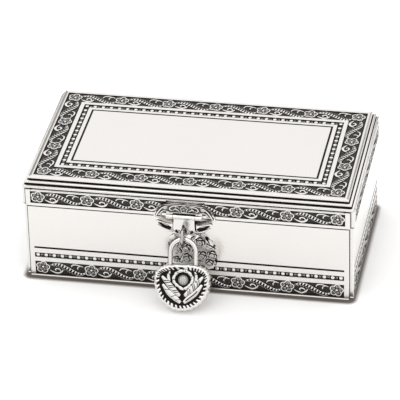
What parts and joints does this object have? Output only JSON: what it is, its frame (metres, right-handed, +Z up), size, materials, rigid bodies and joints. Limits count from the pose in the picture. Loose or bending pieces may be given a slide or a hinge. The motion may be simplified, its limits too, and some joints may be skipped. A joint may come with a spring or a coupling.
{
  "type": "jewelry box",
  "caption": "Oblong silver-plated jewelry box with flower bands, hinged lid, hasp and staple, a small hanging padlock that opens, and a velvet lining",
  "frame": {"origin": "centre of the case's footprint, on the surface it stands on", "axes": "+X to the right along the box's length, -Y out of the front with the hasp and the padlock, +Z up"},
  "size_m": [0.1898, 0.1392, 0.0644],
  "materials": {
    "polished_silver": "polished silver plate with darkened recesses",
    "oxidised_silver": "cast silver plate, blackened in the recesses",
    "hinge_steel": "nickelled steel",
    "lock_brass": "machined brass",
    "carcass_wood": "plain sawn hardwood",
    "lining_velvet": "dark blue velvet",
    "base_felt": "black felt"
  },
  "bodies": {
    "case": {"case_core": "carcass_wood", "case_front_plate": "polished_silver", "case_right_plate": "polished_silver", "case_back_plate": "polished_silver", "case_left_plate": "polished_silver", "base_pad": "base_felt", "case_lining": "lining_velvet", "case_floor_pad": "lining_velvet", "hinge_left_lower_leaf": "hinge_steel", "hinge_left_lower_leaf_screw_1": "hinge_steel", "hinge_left_lower_leaf_screw_2": "hinge_steel", "hinge_left_pin": "hinge_steel", "hinge_right_lower_leaf": "hinge_steel", "hinge_right_lower_leaf_screw_1": "hinge_steel", "hinge_right_lower_leaf_screw_2": "hinge_steel", "hinge_right_pin": "hinge_steel", "staple_plate": "oxidised_silver", "staple_eye": "polished_silver", "staple_rivet_1": "oxidised_silver", "staple_rivet_2": "oxidised_silver"},
    "lid": {"lid_core": "carcass_wood", "lid_front_skirt": "polished_silver", "lid_right_skirt": "polished_silver", "lid_back_skirt": "polished_silver", "lid_left_skirt": "polished_silver", "lid_moulding": "polished_silver", "lid_top_plate": "polished_silver", "lid_lining": "lining_velvet", "lid_pad": "lining_velvet", "hinge_left_upper_leaf": "hinge_steel", "hinge_left_upper_leaf_screw_1": "hinge_steel", "hinge_left_upper_leaf_screw_2": "hinge_steel", "hinge_right_upper_leaf": "hinge_steel", "hinge_right_upper_leaf_screw_1": "hinge_steel", "hinge_right_upper_leaf_screw_2": "hinge_steel", "hasp_lid_plate": "oxidised_silver", "hasp_pin": "hinge_steel", "hasp_plate_rivet_1": "oxidised_silver", "hasp_plate_rivet_2": "oxidised_silver"},
    "flap": {"hasp_flap": "polished_silver"},
    "shackle": {"shackle": "polished_silver"},
    "lock_body": {"lock_front_shell": "polished_silver", "lock_back_shell": "polished_silver", "heel_rivet": "hinge_steel", "case_pin_1": "hinge_steel", "case_pin_2": "hinge_steel", "case_pin_3": "hinge_steel"},
    "key_barrel": {"key_barrel": "lock_brass"},
    "latch": {"latch": "lock_brass", "latch_spring": "hinge_steel"}
  },
  "joints": [
    {"name": "lid_hinge", "type": "hinge", "parent": "case", "child": "lid", "pos_m": [0, 0.0554, 0.04695], "axis": [-1, 0, 0], "range_deg": [0, 100]},
    {"name": "hasp_swing", "type": "hinge", "parent": "lid", "child": "flap", "pos_m": [-0.001, -0.0555, 0.0486], "axis": [-1, 0, 0], "range_deg": [0, 115]},
    {"name": "padlock_swing", "type": "hinge", "parent": "case", "child": "shackle", "pos_m": [-0.001, -0.0596, 0.0366], "axis": [-1, 0, 0], "range_deg": [0, 75]},
    {"name": "shackle_open", "type": "hinge", "parent": "shackle", "child": "lock_body", "pos_m": [-0.00728, -0.06906, 0.01948], "axis": [0, 0.8753, -0.4836], "range_deg": [0, 50]},
    {"name": "barrel_turn", "type": "hinge", "parent": "lock_body", "child": "key_barrel", "pos_m": [-0.0027, -0.07253, 0.01321], "axis": [0, 0.8753, -0.4836], "range_deg": [0, 60]},
    {"name": "latch_slide", "type": "slide", "parent": "lock_body", "child": "latch", "axis": [0.9986, 0.0253, 0.0458], "range_m": [0, 0.0012]}
  ],
  "couplings": [
    {"joint": "barrel_turn", "follows": "latch_slide", "rad_per_m": 872.66}
  ]
}
